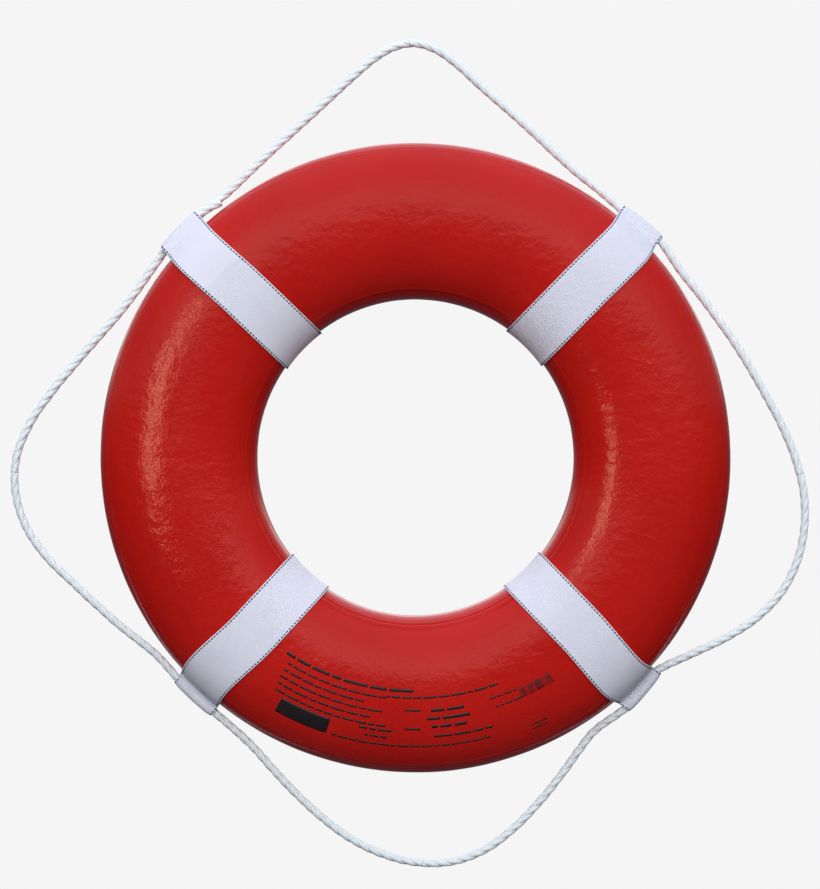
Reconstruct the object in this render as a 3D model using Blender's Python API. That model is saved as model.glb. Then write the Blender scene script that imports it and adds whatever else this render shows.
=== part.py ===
"""Life ring buoy, 24 inch: a foam ring in a vinyl skin, four webbing beckets and a grab line.

It hangs by the grab line's top bight. Metres, +Z up, front towards -Y. The origin is
where a hook carries the top bight, straight above the ring's centre.
Clock angles are in degrees, clockwise from the top as seen from the front.
"""

import math

import bmesh
import bpy
from mathutils import Matrix, Vector
from mathutils.geometry import convex_hull_2d, tessellate_polygon

# Ring
OUTER_DIAMETER = 0.6096
HOLE_DIAMETER = 0.3064
THICKNESS = 0.1016
SECTION_POWER = 2.3  # superellipse exponent of the cross-section
FACE_FLAT_WIDTH = 0.016  # flat on the crown of each face
RIM_STEP = 0.0006  # how far each face stands proud of the two rims
OUTER_RIM_WIDTH = 0.009
INNER_RIM_WIDTH = 0.008
SKIN_THICKNESS = 0.0012
RING_SEGMENTS = 48
CURVE_STEPS = 3  # facets along each rim and each half of a face

# Beckets: webbing wrapped round the ring and sewn into a tunnel for the line
BECKET_CLOCK = {"top_left": 313.8, "top_right": 44.4, "bottom_right": 136.0, "bottom_left": 222.8}
WEBBING_WIDTH = 0.049
WEBBING_THICKNESS = 0.0012
STITCHED_WIDTH = 0.0014  # flat of the sewn web, between the ring and the tunnel
THREAD_DIAMETER = 0.0006
STITCHES = 8
STITCH_MARGIN = 0.0035  # from the webbing's edge to the first stitch
STITCH_HOLE_SIDES = 6
WEBBING_ROW_LENGTH = 0.0165  # longest facet across the webbing
FOLD_STEPS = 5
LAPPED_CORNER = "top_left"  # where the line's two ends lie side by side

# Grab line
LINE_DIAMETER = 0.008
LINE_POINT_SPACING = 0.0185
BECKET_POINT_SPACING = 0.010
TAIL_POINT_SPACING = 0.008
LINE_BEVEL = 2
DOME_ANGLE = 80  # how far the ball at each end of a bight is rounded, in degrees
DOME_STEPS = 3
PATH_STEPS = 12
TUNNEL_STRAIGHT = 0.006  # the line keeps to its circle this far inside each mouth
PIVOT_DISTANCE = 0.035  # along the line, from a becket's middle to where a bight turns
TOP_PIVOT_DISTANCE = 0.060
CROSSING_MIDDLE = -0.62  # where the last end crosses to the front, in half widths of the webbing
CROSSING_END = -0.10
TAIL_REACH = 0.048  # from the becket's middle to the end of the lapped tail
TAIL_BEND = 0.0018  # how far the tail has come in towards the rim halfway to its end

# Clearances
FIT_GAP = 0.0003  # between pieces that touch
WEBBING_GAP = 0.0005  # between the webbing and the crown of the skin
LINE_GAP = 0.0006  # between the line and its tunnel
TAIL_GAP = 0.0012  # between the tail's end and the rim
SEWN_SLACK = 0.0001  # in each half of the sewn web
SAME_POINT = 1e-6

SMOOTH_ANGLE = 35  # edges flatter than this, in degrees, are shaded smooth

# Route of the line's axis between the beckets: clock angle, distance outside the rim
ROUTE = {
    "top": [
        (325, 0.0100), (330, 0.0155), (335, 0.0235), (340, 0.0340), (345, 0.0480), (350, 0.0665),
        (354, 0.0835), (357, 0.0935), (360, 0.0965), (363, 0.0905), (366, 0.0785), (370, 0.0605),
        (375, 0.0435), (380, 0.0300), (385, 0.0190), (390, 0.0120), (395, 0.0092),
    ],
    "right": [
        (55, 0.0095), (60, 0.0125), (65, 0.0170), (70, 0.0235), (75, 0.0310), (80, 0.0402),
        (85, 0.0515), (90, 0.0630), (95, 0.0727), (100, 0.0779), (105, 0.0785), (110, 0.0733),
        (115, 0.0609), (120, 0.0435), (125, 0.0250),
    ],
    "bottom": [
        (147, 0.0120), (151, 0.0205), (155, 0.0324), (160, 0.0489), (165, 0.0662), (170, 0.0810),
        (175, 0.0883), (180, 0.0872), (185, 0.0800), (190, 0.0686), (195, 0.0540), (200, 0.0394),
        (205, 0.0261), (210, 0.0155),
    ],
    "left": [
        (232.5, 0.0105), (236, 0.0155), (240, 0.0237), (245, 0.0350), (250, 0.0487), (255, 0.0655),
        (260, 0.0785), (265, 0.0842), (270, 0.0818), (275, 0.0704), (280, 0.0542), (285, 0.0386),
        (290, 0.0257), (295, 0.0160), (300, 0.0105),
    ],
}
BIGHT_ENDS = {
    "top": ("top_left", "top_right"),
    "right": ("top_right", "bottom_right"),
    "bottom": ("bottom_right", "bottom_left"),
    "left": ("bottom_left", "top_left"),
}
APEX_STANDOFF = dict(ROUTE["top"])[360]

# Sizes that follow from those above
LINE_RADIUS = LINE_DIAMETER / 2
RIM_RADIUS = OUTER_DIAMETER / 2
MIDDLE_RADIUS = (OUTER_DIAMETER + HOLE_DIAMETER) / 4
SECTION_A = (OUTER_DIAMETER - HOLE_DIAMETER) / 4 + RIM_STEP
FLAT_SHARE = FACE_FLAT_WIDTH / 2 / SECTION_A
SECTION_B = THICKNESS / 2 / (1 - FLAT_SHARE**SECTION_POWER) ** (1 / SECTION_POWER)
SEWN_HALF = WEBBING_THICKNESS + SEWN_SLACK
WEBBING_ROWS = math.ceil(WEBBING_WIDTH / WEBBING_ROW_LENGTH)
BAND_APEX = RIM_RADIUS + RIM_STEP + WEBBING_GAP + FIT_GAP
VALLEY_IN = BAND_APEX + WEBBING_THICKNESS
VALLEY_OUT = VALLEY_IN + STITCHED_WIDTH
STITCH_RADIUS = (VALLEY_IN + VALLEY_OUT) / 2
TUNNEL_RADIUS = LINE_RADIUS + LINE_GAP
TUNNEL_OUTER = TUNNEL_RADIUS + WEBBING_THICKNESS
LINE_CIRCLE = VALLEY_OUT + math.sqrt(TUNNEL_OUTER**2 - SEWN_HALF**2)
LAP_SPACING = LINE_DIAMETER + FIT_GAP
TAIL_RADIUS = RIM_RADIUS + LINE_RADIUS + TAIL_GAP
RING_CENTRE = Vector((0, 0, LINE_RADIUS - RIM_RADIUS - APEX_STANDOFF))

COLOURS = {
    "vinyl": ((0.50, 0.012, 0.008, 1), 0.28),
    "foam": ((0.86, 0.85, 0.80, 1), 0.90),
    "webbing": ((0.74, 0.76, 0.84, 1), 0.75),
    "thread": ((0.06, 0.08, 0.18, 1), 0.60),
    "line": ((0.80, 0.81, 0.82, 1), 0.70),
}


def clear_scene():
    for obj in list(bpy.data.objects):
        bpy.data.objects.remove(obj, do_unlink=True)


def material_for(name, kind):
    colour, roughness = COLOURS[kind]
    material = bpy.data.materials.new(name)
    material.use_nodes = True
    shader = material.node_tree.nodes["Principled BSDF"]
    shader.inputs["Base Color"].default_value = colour
    shader.inputs["Roughness"].default_value = roughness
    shader.inputs["Metallic"].default_value = 0.0
    return material


def add_object(name, data, kind, origin, parent=None):
    """Links a mesh or a curve whose points are measured from origin, a point in world space."""
    obj = bpy.data.objects.new(name, data)
    bpy.context.scene.collection.objects.link(obj)
    data.materials.append(material_for(name, kind))
    obj.parent = parent
    obj.location = origin - parent.location if parent else origin
    return obj


def add_axis(name, place):
    """An empty on a hinge's axis, the parent of what turns on it."""
    empty = bpy.data.objects.new(name, None)
    bpy.context.scene.collection.objects.link(empty)
    empty.location = place
    return empty


def finish_mesh(bm, name):
    bmesh.ops.recalc_face_normals(bm, faces=bm.faces)
    mesh = bpy.data.meshes.new(name)
    bm.to_mesh(mesh)
    bm.free()
    mesh.shade_smooth()
    mesh.set_sharp_from_angle(angle=math.radians(SMOOTH_ANGLE))
    return mesh


# Cross-section of the ring, in (radius, distance behind the middle plane)


def phase_at(radius):
    """The section's phase, 0 at the outer rim and pi at the inner one, at this radius."""
    x = (radius - MIDDLE_RADIUS) / SECTION_A
    return math.acos(math.copysign(abs(x) ** (SECTION_POWER / 2), x))


def section_point(phase, offset):
    """A point of the rear half of the crown's outline, moved out along its normal."""
    c, s = math.cos(phase), max(math.sin(phase), 0.0)
    x = SECTION_A * math.copysign(abs(c) ** (2 / SECTION_POWER), c)
    y = SECTION_B * s ** (2 / SECTION_POWER)
    normal = Vector(
        (
            math.copysign(abs(x / SECTION_A) ** (SECTION_POWER - 1), x) / SECTION_A,
            (y / SECTION_B) ** (SECTION_POWER - 1) / SECTION_B,
        )
    ).normalized()
    return Vector((MIDDLE_RADIUS + x, y)) + offset * normal


def between(low, high, steps):
    return [low + (high - low) * i / steps for i in range(steps + 1)]


def outline_phases(inset):
    """Phases along the outer rim, the face and the inner rim.

    inset moves the two steps in towards the crown, for a layer that lies under the skin.
    """
    outer_step = phase_at(RIM_RADIUS - OUTER_RIM_WIDTH - inset)
    outer_flat = phase_at(MIDDLE_RADIUS + FACE_FLAT_WIDTH / 2)
    inner_flat = phase_at(MIDDLE_RADIUS - FACE_FLAT_WIDTH / 2)
    inner_step = phase_at(HOLE_DIAMETER / 2 + INNER_RIM_WIDTH + inset)
    face = between(outer_step, outer_flat, CURVE_STEPS) + between(inner_flat, inner_step, CURVE_STEPS)
    return between(0, outer_step, CURVE_STEPS), face, between(inner_step, math.pi, CURVE_STEPS)


def half_outline(depth):
    """The rear half's outline from the outer rim to the inner one, this deep under the surface."""
    outer_rim, face, inner_rim = outline_phases(depth)
    points = [section_point(p, -depth - RIM_STEP) for p in outer_rim]
    points += [section_point(p, -depth) for p in face]
    points += [section_point(p, -depth - RIM_STEP) for p in inner_rim]
    points[0].y = points[-1].y = FIT_GAP / 2
    return points


def turned_ring(name, outline):
    """Turns a closed outline round the ring's axis."""
    bm = bmesh.new()
    corners = [bm.verts.new((p.x, p.y, 0)) for p in outline]
    edges = [bm.edges.new((a, b)) for a, b in zip(corners, corners[1:] + corners[:1])]
    bmesh.ops.spin(
        bm,
        geom=corners + edges,
        cent=(0, 0, 0),
        axis=(0, 1, 0),
        angle=math.tau,
        steps=RING_SEGMENTS,
        use_merge=True,
    )
    return finish_mesh(bm, name)


def mirrored(points):
    return [Vector((p.x, -p.y)) for p in points]


def add_ring(parent):
    """Two foam halves glued at the middle plane, and two vinyl skins welded over them."""
    foam = half_outline(SKIN_THICKNESS + FIT_GAP)
    skin = half_outline(0) + half_outline(SKIN_THICKNESS)[::-1]
    for side, outline_of in (("rear", list), ("front", mirrored)):
        mesh = turned_ring(f"foam_core_{side}", outline_of(foam))
        add_object(f"foam_core_{side}", mesh, "foam", RING_CENTRE, parent)
        mesh = turned_ring(f"vinyl_skin_{side}", outline_of(skin))
        add_object(f"vinyl_skin_{side}", mesh, "vinyl", RING_CENTRE, parent)


# Beckets


def directions(clock):
    """Outward and clockwise unit vectors at a clock angle."""
    a = math.radians(clock)
    return Vector((math.sin(a), 0, math.cos(a))), Vector((math.cos(a), 0, -math.sin(a)))


def on_ring(clock, radius, across, depth):
    """A point at this radius from the ring's axis, measured across from a becket's middle line."""
    out, along = directions(clock)
    return out * math.sqrt(radius**2 - across**2) + along * across + Vector((0, depth, 0))


def round_the_line(front_lobe, radius, reach):
    """Points at this radius round the line in its tunnel, from the front to the rear.

    They start and end at the angle reach from the side that faces away from the ring.
    With two lines in the tunnel they pass round both.
    """
    front = [(front_lobe, a) for a in between(-reach, 0, FOLD_STEPS)]
    rear = [(0, a) for a in between(0, reach, FOLD_STEPS)]
    return [
        Vector((LINE_CIRCLE + radius * math.cos(a), depth + radius * math.sin(a)))
        for depth, a in front + rear
    ]


def without_repeats(points):
    """A closed outline without points that fall on the one before."""
    return [p for before, p in zip(points[-1:] + points, points) if (p - before).length > SAME_POINT]


def band_stations(apex):
    """Phase and side (1 rear, -1 front) of each place where the webbing lies on the ring.

    The list runs from the sewn web over the rear to the front. Places that the straight
    runs to the web's apex pass over are left out.
    """
    outer_rim, face, inner_rim = outline_phases(0)
    phases = outer_rim[:-1] + face + inner_rim[1:]
    stations = [(p, 1) for p in phases] + [(p, -1) for p in phases[-2:0:-1]]
    points = [side_point(station, WEBBING_GAP) for station in stations]
    hull = convex_hull_2d(points + [apex])
    start = hull.index(len(points))
    return [stations[i] for i in hull[start + 1 :] + hull[:start]]


def side_point(station, offset):
    phase, side = station
    point = section_point(phase, offset)
    return Vector((point.x, side * point.y))


def becket_outlines(front_lobe):
    """Outside, ring hole and tunnel of a becket's section.

    front_lobe is the depth of the second line in the tunnel, or 0 with one line only.
    """
    middle = front_lobe / 2
    apex = Vector((BAND_APEX, middle))
    stations = band_stations(apex)
    band = [side_point(s, WEBBING_GAP + WEBBING_THICKNESS) for s in stations]
    web = [Vector((r, middle + SEWN_HALF)) for r in (VALLEY_OUT, VALLEY_IN)]
    far_web = [Vector((r, middle - SEWN_HALF)) for r in (VALLEY_IN, VALLEY_OUT)]
    reach = math.pi - math.asin(SEWN_HALF / TUNNEL_OUTER)
    fold = round_the_line(front_lobe, TUNNEL_OUTER, reach)
    outside = without_repeats(web + band + far_web + fold)
    ring_hole = [apex] + [side_point(s, WEBBING_GAP) for s in stations]
    tunnel = without_repeats(round_the_line(front_lobe, TUNNEL_RADIUS, math.pi))
    return outside, ring_hole, tunnel


def becket_mesh(name, clock, front_lobe):
    """The section carried across the webbing's width, parallel to its middle line."""
    outlines = becket_outlines(front_lobe)
    section = [p for outline in outlines for p in outline]
    bm = bmesh.new()
    rows = [
        [bm.verts.new(on_ring(clock, p.x, across, p.y)) for p in section]
        for across in between(-WEBBING_WIDTH / 2, WEBBING_WIDTH / 2, WEBBING_ROWS)
    ]
    for row, following in zip(rows, rows[1:]):
        first = 0
        for outline in outlines:
            for i in range(len(outline)):
                a, b = first + i, first + (i + 1) % len(outline)
                bm.faces.new((row[a], row[b], following[b], following[a]))
            first += len(outline)
    for corners in tessellate_polygon([[p.to_3d() for p in outline] for outline in outlines]):
        for row in (rows[0], rows[-1]):
            bm.faces.new([row[i] for i in corners])
    return finish_mesh(bm, name)


def stitch_places():
    reach = WEBBING_WIDTH / 2 - STITCH_MARGIN
    return between(-reach, reach, STITCHES - 1)


def add_stitch_cutter(name, clock, middle, parent):
    """Needle holes straight through the sewn web."""
    bm = bmesh.new()
    for across in stitch_places():
        place = on_ring(clock, STITCH_RADIUS, across, middle)
        bmesh.ops.create_cone(
            bm,
            cap_ends=True,
            segments=STITCH_HOLE_SIDES,
            radius1=THREAD_DIAMETER / 2 + FIT_GAP,
            radius2=THREAD_DIAMETER / 2 + FIT_GAP,
            depth=2 * (SEWN_HALF + THREAD_DIAMETER),
            matrix=Matrix.Translation(place) @ Matrix.Rotation(math.radians(90), 4, "X"),
        )
    cutter = add_object(name, finish_mesh(bm, name), "thread", RING_CENTRE, parent)
    cutter.hide_render = True
    cutter.display_type = "WIRE"
    return cutter


def add_tube(name, points, radii, diameter, bevel_resolution, kind, origin, parent=None):
    """A round cord through these world points, each with its share of the full radius."""
    curve = bpy.data.curves.new(name, "CURVE")
    curve.dimensions = "3D"
    curve.bevel_depth = diameter / 2
    curve.bevel_resolution = bevel_resolution
    curve.use_fill_caps = True
    spline = curve.splines.new("POLY")
    spline.points.add(len(points) - 1)
    for target, point, radius in zip(spline.points, points, radii):
        target.co = (*(point - origin), 1)
        target.radius = radius
    spline.use_smooth = True
    return add_object(name, curve, kind, origin, parent)


def add_stitching(name, clock, middle, parent):
    """One thread that runs through the web's holes, in at the rear and out at the front."""
    level = SEWN_HALF + FIT_GAP + THREAD_DIAMETER / 2
    points = []
    for i, across in enumerate(stitch_places()):
        sides = (1, -1) if i % 2 == 0 else (-1, 1)
        points += [RING_CENTRE + on_ring(clock, STITCH_RADIUS, across, middle + s * level) for s in sides]
    add_tube(name, points, [1] * len(points), THREAD_DIAMETER, 1, "thread", RING_CENTRE, parent)


def add_beckets(parent):
    for corner, clock in BECKET_CLOCK.items():
        front_lobe = -LAP_SPACING if corner == LAPPED_CORNER else 0
        name = f"becket_{corner}"
        becket = add_object(name, becket_mesh(name, clock, front_lobe), "webbing", RING_CENTRE, parent)
        holes = becket.modifiers.new("needle_holes", "BOOLEAN")
        holes.operation = "DIFFERENCE"
        holes.solver = "EXACT"
        holes.object = add_stitch_cutter(f"needles_{corner}", clock, front_lobe / 2, parent)
        add_stitching(f"becket_stitching_{corner}", clock, front_lobe / 2, parent)


# Grab line


def smooth_path(points):
    """Dense points on a centripetal Catmull-Rom curve from the second point to the last but one."""
    path = [points[1]]
    for p0, p1, p2, p3 in zip(points, points[1:], points[2:], points[3:]):
        t1 = math.sqrt((p1 - p0).length)
        t2 = t1 + math.sqrt((p2 - p1).length)
        t3 = t2 + math.sqrt((p3 - p2).length)
        for t in between(t1, t2, PATH_STEPS)[1:]:
            a1 = p0.lerp(p1, t / t1)
            a2 = p1.lerp(p2, (t - t1) / (t2 - t1))
            a3 = p2.lerp(p3, (t - t2) / (t3 - t2))
            b1 = a1.lerp(a2, t / t2)
            b2 = a2.lerp(a3, (t - t1) / (t3 - t1))
            path.append(b1.lerp(b2, (t - t1) / (t2 - t1)))
    return path


def path_length(path):
    return sum((b - a).length for a, b in zip(path, path[1:]))


def along_path(path, distance):
    """The point this far along a path."""
    for a, b in zip(path, path[1:]):
        step = (b - a).length
        if distance <= step:
            return a.lerp(b, distance / step)
        distance -= step
    return path[-1]


def line_point(clock, across, radius=None, depth=0.0):
    """A world point on the line's circle, or at a radius, measured across from a becket's middle."""
    return RING_CENTRE + on_ring(clock, radius or LINE_CIRCLE, across, depth)


def bight_path(name):
    """The line's axis from the middle of one becket to the middle of the next."""
    start, end = (BECKET_CLOCK[corner] for corner in BIGHT_ENDS[name])
    mouth = WEBBING_WIDTH / 2
    inside = mouth - TUNNEL_STRAIGHT
    points = [line_point(start, across) for across in (-inside, 0, inside, mouth)]
    for clock, standoff in ROUTE[name]:
        points.append(line_point(clock, 0, RIM_RADIUS + standoff))
    points += [line_point(end, across) for across in (-mouth, -inside, 0, inside)]
    return smooth_path(points)


def pivot_distance(name):
    return TOP_PIVOT_DISTANCE if name == "top" else PIVOT_DISTANCE


def pivots(name):
    path = bight_path(name)
    reach = pivot_distance(name)
    return along_path(path, reach), along_path(path, path_length(path) - reach)


def stretch(path, start, end, spacing=LINE_POINT_SPACING):
    """Points evenly spread between two distances along a path."""
    steps = max(2, round((end - start) / spacing))
    return [along_path(path, d) for d in between(start, end, steps)]


def add_bight(name, parent=None):
    """The line between two pivots, with a ball at each end that turns in place."""
    path = bight_path(name)
    start = pivot_distance(name)
    end = path_length(path) - start
    turns = between(0, math.radians(DOME_ANGLE), DOME_STEPS)[1:]
    dome = [(LINE_RADIUS * math.sin(a), math.cos(a)) for a in turns]
    points = [along_path(path, start - back) for back, _ in dome[::-1]]
    points += stretch(path, start, end)
    points += [along_path(path, end + on) for on, _ in dome]
    shares = [share for _, share in dome]
    radii = shares[::-1] + [1] * (len(points) - 2 * len(dome)) + shares
    near, far = pivots(name)
    label = f"grab_line_{name}_bight"
    add_tube(label, points, radii, LINE_DIAMETER, LINE_BEVEL, "line", (near + far) / 2, parent)


def add_line_piece(name, points, parent):
    add_tube(name, points, [1] * len(points), LINE_DIAMETER, LINE_BEVEL, "line", RING_CENTRE, parent)


def add_line_in_beckets(parent):
    """The line's stretches through three beckets, each between the pivots of its two bights."""
    short = LINE_RADIUS + FIT_GAP
    for name, following in (("top", "right"), ("right", "bottom"), ("bottom", "left")):
        path, onward = bight_path(name), bight_path(following)
        length = path_length(path)
        points = stretch(path, length - pivot_distance(name) + short, length, BECKET_POINT_SPACING)
        points += stretch(onward, 0, pivot_distance(following) - short, BECKET_POINT_SPACING)[1:]
        add_line_piece(f"grab_line_in_{BIGHT_ENDS[name][1]}", points, parent)


def add_lapped_ends(parent):
    """The line's two ends, side by side in one becket; the last end comes out as a short tail."""
    clock = BECKET_CLOCK[LAPPED_CORNER]
    short = LINE_RADIUS + FIT_GAP
    top = bight_path("top")
    first_end = stretch(top, FIT_GAP, TOP_PIVOT_DISTANCE - short, BECKET_POINT_SPACING)
    add_line_piece("grab_line_first_end", first_end, parent)
    mouth = WEBBING_WIDTH / 2
    left = bight_path("left")
    length = path_length(left)
    guide = [
        along_path(left, length - PIVOT_DISTANCE - short),
        along_path(left, length - PIVOT_DISTANCE + short),
        line_point(clock, CROSSING_MIDDLE * mouth, depth=-LAP_SPACING / 2),
        line_point(clock, CROSSING_END * mouth, depth=-LAP_SPACING),
        line_point(clock, mouth - TUNNEL_STRAIGHT, depth=-LAP_SPACING),
        line_point(clock, mouth, depth=-LAP_SPACING),
        line_point(clock, (mouth + TAIL_REACH) / 2, LINE_CIRCLE - TAIL_BEND, -LAP_SPACING),
        line_point(clock, TAIL_REACH, TAIL_RADIUS, -LAP_SPACING),
    ]
    guide.append(2 * guide[-1] - guide[-2])
    tail = smooth_path(guide)
    add_line_piece("grab_line_last_end", stretch(tail, 0, path_length(tail), TAIL_POINT_SPACING), parent)


def main():
    clear_scene()
    near, far = pivots("top")
    swing = add_axis("buoy_swing_axis", (near + far) / 2)
    add_ring(swing)
    add_beckets(swing)
    add_bight("top")
    for name in ("right", "bottom", "left"):
        add_bight(name, swing)
    add_line_in_beckets(swing)
    add_lapped_ends(swing)


main()
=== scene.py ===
"""Looks of the life ring buoy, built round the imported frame.

Metres, +Z up, front towards -Y. Clock angles are in degrees, clockwise from the top as seen from
the front, and radii are measured from the ring's own axis.
"""

import math

import bpy
import numpy as np
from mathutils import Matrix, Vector, noise
from mathutils.geometry import convex_hull_2d


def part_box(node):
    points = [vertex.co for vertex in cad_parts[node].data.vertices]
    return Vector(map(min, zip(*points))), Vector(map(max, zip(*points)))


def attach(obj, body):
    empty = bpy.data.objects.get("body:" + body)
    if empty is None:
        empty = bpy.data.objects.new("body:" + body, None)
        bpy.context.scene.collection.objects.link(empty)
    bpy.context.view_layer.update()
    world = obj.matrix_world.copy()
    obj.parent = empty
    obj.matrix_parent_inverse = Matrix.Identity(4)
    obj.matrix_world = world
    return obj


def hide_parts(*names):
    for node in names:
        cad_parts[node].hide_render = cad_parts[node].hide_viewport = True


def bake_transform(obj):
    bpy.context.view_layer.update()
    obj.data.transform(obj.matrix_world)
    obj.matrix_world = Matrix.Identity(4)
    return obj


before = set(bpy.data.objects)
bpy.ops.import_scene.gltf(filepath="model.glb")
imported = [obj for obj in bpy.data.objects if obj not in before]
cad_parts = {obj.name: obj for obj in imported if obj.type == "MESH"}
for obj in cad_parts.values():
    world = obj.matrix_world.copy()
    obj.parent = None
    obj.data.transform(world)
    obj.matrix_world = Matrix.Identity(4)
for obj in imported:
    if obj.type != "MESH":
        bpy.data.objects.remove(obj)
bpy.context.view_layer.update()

# Ring
SKIN_LOW, SKIN_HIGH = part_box("vinyl_skin_front")
RIM_RADIUS = (SKIN_HIGH.x - SKIN_LOW.x) / 2
RING_CENTRE = np.array((0, 0, (SKIN_HIGH.z + SKIN_LOW.z) / 2))
HOLE_RADIUS = 0.1532
THICKNESS = 0.1016
SECTION_POWER = 2.3
FACE_FLAT_WIDTH = 0.016
RIM_STEP = 0.0006
OUTER_RIM_WIDTH = 0.009
INNER_RIM_WIDTH = 0.008
SKIN_THICKNESS = 0.0012
MIDDLE_RADIUS = (RIM_RADIUS + HOLE_RADIUS) / 2
SECTION_A = (RIM_RADIUS - HOLE_RADIUS) / 2 + RIM_STEP
FLAT_SHARE = FACE_FLAT_WIDTH / 2 / SECTION_A
SECTION_B = THICKNESS / 2 / (1 - FLAT_SHARE**SECTION_POWER) ** (1 / SECTION_POWER)
RING_STEPS = 576
SECTION_STEPS = 112
LINING_STEPS = 10
SEAM_GAP = 0.00008
SEAM_DEPTH = 0.0005
STEP_WIDTH = 0.0011  # over which the skin drops to a rim
LIP_HEIGHT = 0.00034
LIP_WIDTH = 0.0013
CROWN_EDGE = (0.046, 0.066)  # distances from the middle radius over which wrinkles fade

# Undulations of the skin: cycles per metre, height
SKIN_NOISE = ((13, 0.00024), (44, 0.00010), (120, 0.00005))
# Small blisters in the skin: clock angle, radius, height, spread
BLISTERS = (
    (266.0, 0.2278, 0.00045, 0.0016),
    (263.3, 0.2262, 0.00038, 0.0019),
    (259.6, 0.2212, 0.00035, 0.0016),
    (257.9, 0.2195, 0.00042, 0.0014),
    (256.4, 0.2290, 0.00030, 0.0018),
    (84.0, 0.2420, 0.00030, 0.0020),
    (171.0, 0.1760, 0.00028, 0.0022),
)

# Beckets
BECKET_CLOCK = {"top_left": 313.8, "top_right": 44.4, "bottom_right": 136.0, "bottom_left": 222.8}
WEBBING_WIDTH = 0.049
WEBBING_THICKNESS = 0.0012
HALF_WIDTH = WEBBING_WIDTH / 2
HALF_THICK = WEBBING_THICKNESS / 2
WEBBING_GAP = 0.0005
SEWN_HALF = 0.0013
VALLEY_IN = 0.3074
VALLEY_OUT = 0.3088
TUNNEL_RADIUS = 0.0046
TUNNEL_MIDDLE = TUNNEL_RADIUS + HALF_THICK
LINE_CIRCLE = VALLEY_OUT + math.sqrt((TUNNEL_RADIUS + WEBBING_THICKNESS) ** 2 - SEWN_HALF**2)
LAPPED_CORNER = "top_left"
# Depth of each sewn web: the upper folds are pulled flat at the front, the lower ones stand free
WEB_DEPTH = {"top_left": -0.0122, "top_right": -0.0055, "bottom_right": -0.0028, "bottom_left": -0.0028}
# How far each strap lies beside its radial middle line: on the face, near the rim, at the fold
SWAY = {
    "top_left": (0.0, -0.0018, 0.0003),
    "top_right": (0.0012, 0.0022, -0.0026),
    "bottom_right": (0.0010, 0.0040, -0.0018),
    "bottom_left": (0.0, 0.0039, -0.0004),
}
SWAY_RADII = ((0.225, 0.288), (0.288, 0.320))  # over which it changes
TILT = {"top_left": 0.0, "top_right": 0.085, "bottom_right": 0.095, "bottom_left": 0.0}
TILT_RADII = (0.300, 0.3165)
RIB_PITCH = 0.00172
RIB_HEIGHT = 0.00007
ROWS_PER_RIB = 4
MARKER_INSET = 0.0016  # of the marker thread from the webbing's edge
MARKER_PITCH = 0.0036
MARKER_LENGTH = 0.0027
MARKER_WIDTH = 0.0013
MARKER_HEIGHT = 0.0004
SELVEDGE_HEIGHT = 0.00016
STITCH_COUNT = 15
STITCH_LENGTH = 0.0022
STITCH_WIDTH = 0.0008
PUCKER = {"top_left": 0.00004, "top_right": 0.00005, "bottom_right": 0.00060, "bottom_left": 0.00050}
PUCKER_START = 0.0012
PUCKER_REACH = 0.0065
LAP_LENGTH = 0.0745
LAP_RISE = 0.016

# Line
LINE_DIAMETER = 0.008
LAP_SPACING = LINE_DIAMETER + 0.0003
STRAND_CIRCLE = 0.00118
STRAND_RADIUS = 0.00282
STRAND_SIDES = 14
LAY_LENGTH = 0.0345  # one full turn of a strand
LINE_STEP = 0.0014
PATH_STEPS = 12
TUNNEL_STRAIGHT = 0.006
PIVOT_DISTANCE = 0.035
CROSSING_MIDDLE = -0.62
CROSSING_END = -0.10
TAIL_REACH = 0.048
TAIL_BEND = 0.0018
TAIL_RADIUS = RIM_RADIUS + LINE_DIAMETER / 2 + 0.0012
LINE_START_GAP = 0.0003

# Route of the line's axis between the beckets: clock angle, distance outside the rim
ROUTE = {
    "top": [
        (325, 0.0100), (330, 0.0155), (335, 0.0235), (340, 0.0340), (345, 0.0480), (350, 0.0665),
        (354, 0.0835), (357, 0.0935), (360, 0.0965), (363, 0.0905), (366, 0.0785), (370, 0.0605),
        (375, 0.0435), (380, 0.0300), (385, 0.0190), (390, 0.0120), (395, 0.0092),
    ],
    "right": [
        (55, 0.0095), (60, 0.0125), (65, 0.0170), (70, 0.0235), (75, 0.0310), (80, 0.0402),
        (85, 0.0515), (90, 0.0630), (95, 0.0727), (100, 0.0779), (105, 0.0785), (110, 0.0733),
        (115, 0.0609), (120, 0.0435), (125, 0.0250),
    ],
    "bottom": [
        (147, 0.0120), (151, 0.0205), (155, 0.0324), (160, 0.0489), (165, 0.0662), (170, 0.0810),
        (175, 0.0883), (180, 0.0872), (185, 0.0800), (190, 0.0686), (195, 0.0540), (200, 0.0394),
        (205, 0.0261), (210, 0.0155),
    ],
    "left": [
        (232.5, 0.0105), (236, 0.0155), (240, 0.0237), (245, 0.0350), (250, 0.0487), (255, 0.0655),
        (260, 0.0785), (265, 0.0842), (270, 0.0818), (275, 0.0704), (280, 0.0542), (285, 0.0386),
        (290, 0.0257), (295, 0.0160), (300, 0.0105),
    ],
}
BIGHT_ENDS = {
    "top": ("top_left", "top_right"),
    "right": ("top_right", "bottom_right"),
    "bottom": ("bottom_right", "bottom_left"),
    "left": ("bottom_left", "top_left"),
}

# Camera and light
CAMERA_DISTANCE = 2.8
VIEW_HEIGHT = 0.8614
VIEW_MIDDLE = (-0.0053, -0.3847)
SENSOR = 36.0
PALE = (0.913, 0.913, 0.913, 1)

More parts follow.
